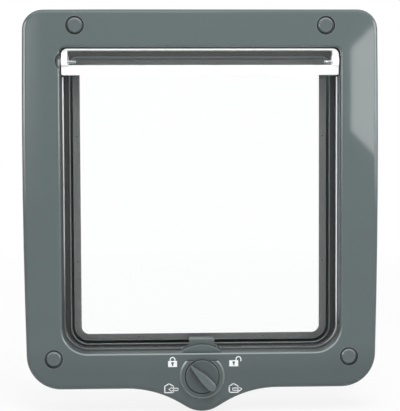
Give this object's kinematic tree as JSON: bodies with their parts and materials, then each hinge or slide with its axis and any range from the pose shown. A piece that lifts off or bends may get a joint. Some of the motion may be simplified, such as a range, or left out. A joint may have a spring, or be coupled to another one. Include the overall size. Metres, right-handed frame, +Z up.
{
  "type": "cat flap",
  "caption": "Grey cat flap for a house door: two clamping frames, a clear flap that swings both ways and a rotary dial lock with sliding catches.",
  "frame": {"origin": "middle of the frame on the plane of the door's inside face", "axes": "+X to the right seen from the room, +Y from the room out to the garden, +Z up"},
  "size_m": [0.2992, 0.0766, 0.3387],
  "materials": {
    "frame_grey": "satin moulded",
    "seal_rubber": "matte",
    "clear_plastic": "clear polished",
    "steel": "plated",
    "bush_plastic": "moulded",
    "dial_grey": "satin moulded",
    "lock_plastic": "moulded"
  },
  "bodies": {
    "frame": {"inner_frame": "frame_grey", "outer_frame": "frame_grey", "door_collar": "frame_grey", "tunnel_seal": "seal_rubber", "frame_screws": "steel", "screw_cap_top_left": "frame_grey", "screw_cap_top_right": "frame_grey", "screw_cap_bottom_left": "frame_grey", "screw_cap_bottom_right": "frame_grey", "hinge_bush_left": "bush_plastic", "hinge_bush_right": "bush_plastic", "lock_cover": "lock_plastic", "cover_screws": "steel"},
    "flap": {"flap_panel": "clear_plastic", "hinge_pin_left": "steel", "hinge_pin_right": "steel"},
    "dial": {"lock_dial": "dial_grey", "lock_cam": "lock_plastic", "dial_screw": "steel"},
    "front_catch": {"front_catch": "lock_plastic"},
    "rear_catch": {"rear_catch": "lock_plastic"}
  },
  "joints": [
    {"name": "flap_swing", "type": "hinge", "parent": "frame", "child": "flap", "pos_m": [0, -0.008, 0.1162], "axis": [1, 0, 0], "range_deg": [-80, 80]},
    {"name": "dial_turn", "type": "hinge", "parent": "frame", "child": "dial", "pos_m": [0, -0.008, -0.1487], "axis": [0, -1, 0], "continuous": true},
    {"name": "front_catch_lift", "type": "slide", "parent": "frame", "child": "front_catch", "axis": [0, 0, 1], "range_m": [0, 0.0085]},
    {"name": "rear_catch_lift", "type": "slide", "parent": "frame", "child": "rear_catch", "axis": [0, 0, 1], "range_m": [0, 0.0085]}
  ]
}
